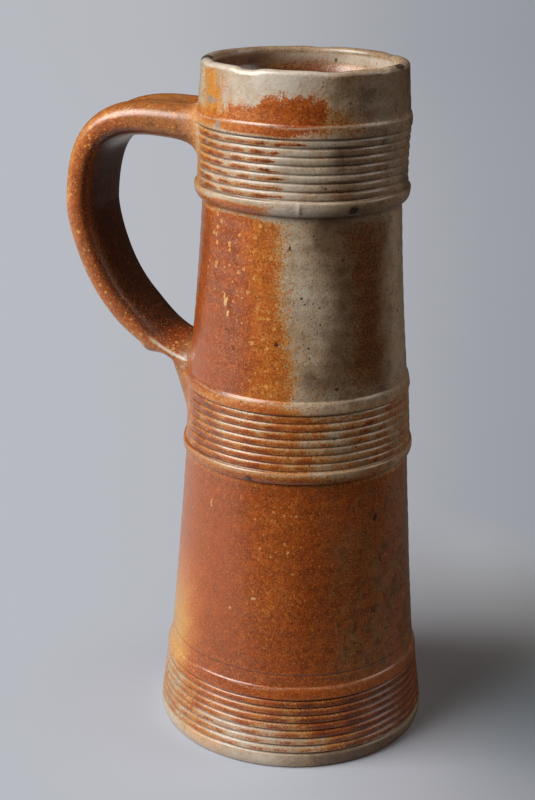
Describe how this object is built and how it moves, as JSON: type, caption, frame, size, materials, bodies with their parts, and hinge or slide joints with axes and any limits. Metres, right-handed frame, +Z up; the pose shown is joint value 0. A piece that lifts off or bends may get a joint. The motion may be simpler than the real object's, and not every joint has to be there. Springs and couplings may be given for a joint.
{
  "type": "stoneware tankard",
  "caption": "Tall tapering salt-glazed stoneware tankard with combed bands at collar, waist and base, and a pulled strap handle luted to its wall.",
  "frame": {"origin": "centre of the flat foot, on the vessel's axis, where it stands on the table", "axes": "+Z up along the vessel's axis towards the mouth; the handle stands out along -X"},
  "size_m": [0.1512, 0.1106, 0.272],
  "materials": {
    "body_glaze": "glossy orange-peel salt glaze over an uneven iron wash, from rust brown to pale grey-buff",
    "handle_glaze": "glossy salt glaze over a rust-brown iron wash",
    "upper_luting_glaze": "glossy salt glaze over an orange-brown iron wash",
    "lower_luting_glaze": "glossy salt glaze over a red-brown iron wash"
  },
  "bodies": {
    "root": {"thrown_body": "body_glaze", "strap_handle": "handle_glaze", "upper_luting_clay": "upper_luting_glaze", "lower_luting_clay": "lower_luting_glaze"}
  },
  "joints": []
}
